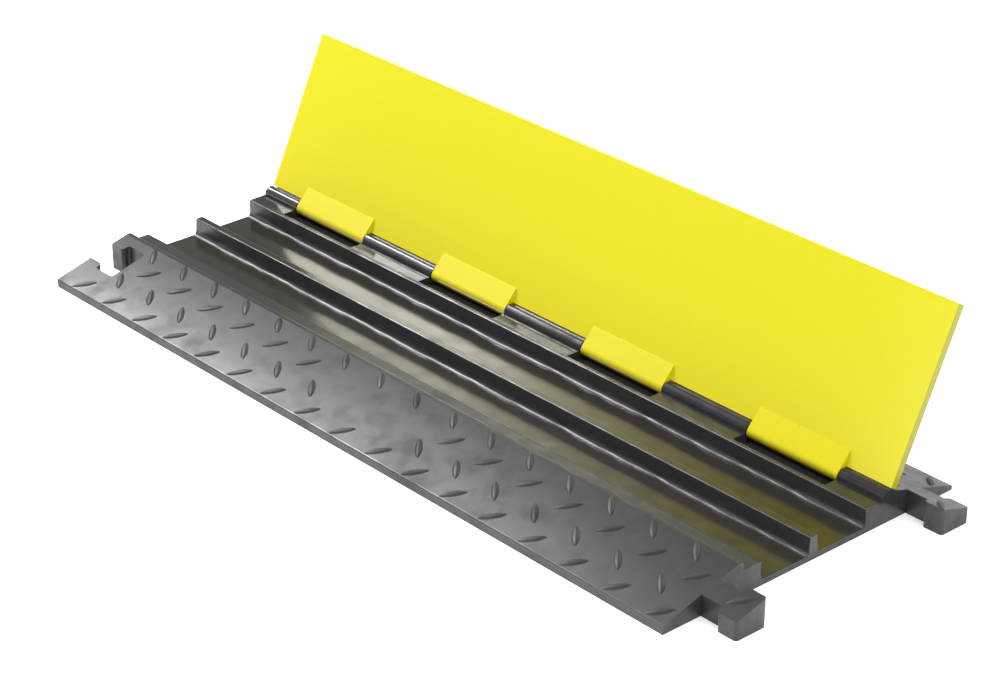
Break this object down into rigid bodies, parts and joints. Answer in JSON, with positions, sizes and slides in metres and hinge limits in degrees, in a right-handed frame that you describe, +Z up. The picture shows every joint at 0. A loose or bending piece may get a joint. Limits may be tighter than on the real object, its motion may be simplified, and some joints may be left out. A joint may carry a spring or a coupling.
{
  "type": "floor cord cover",
  "caption": "Low ramped floor cover for cords: black tread base with open channels, and a yellow hinged lid that closes over them.",
  "frame": {"origin": "on the floor, under the middle of the whole cover with its tongues", "axes": "+X along the channels, from the sockets to the tongues; +Y from the near ramp to the hinge side; +Z up from the floor"},
  "size_m": [0.963, 0.3786, 0.1954],
  "materials": {
    "base_polyurethane": "semi-gloss cast polyurethane, black",
    "lid_polyurethane": "smooth cast polyurethane, bright yellow",
    "rod_steel": "drawn steel rod"
  },
  "bodies": {
    "base": {"base": "base_polyurethane", "hinge_rod": "rod_steel"},
    "lid": {"lid": "lid_polyurethane"}
  },
  "joints": [
    {"name": "lid_hinge", "type": "hinge", "parent": "base", "child": "lid", "pos_m": [0, 0.09821, 0.0256], "axis": [1, 0, 0], "range_deg": [0, 115]}
  ]
}
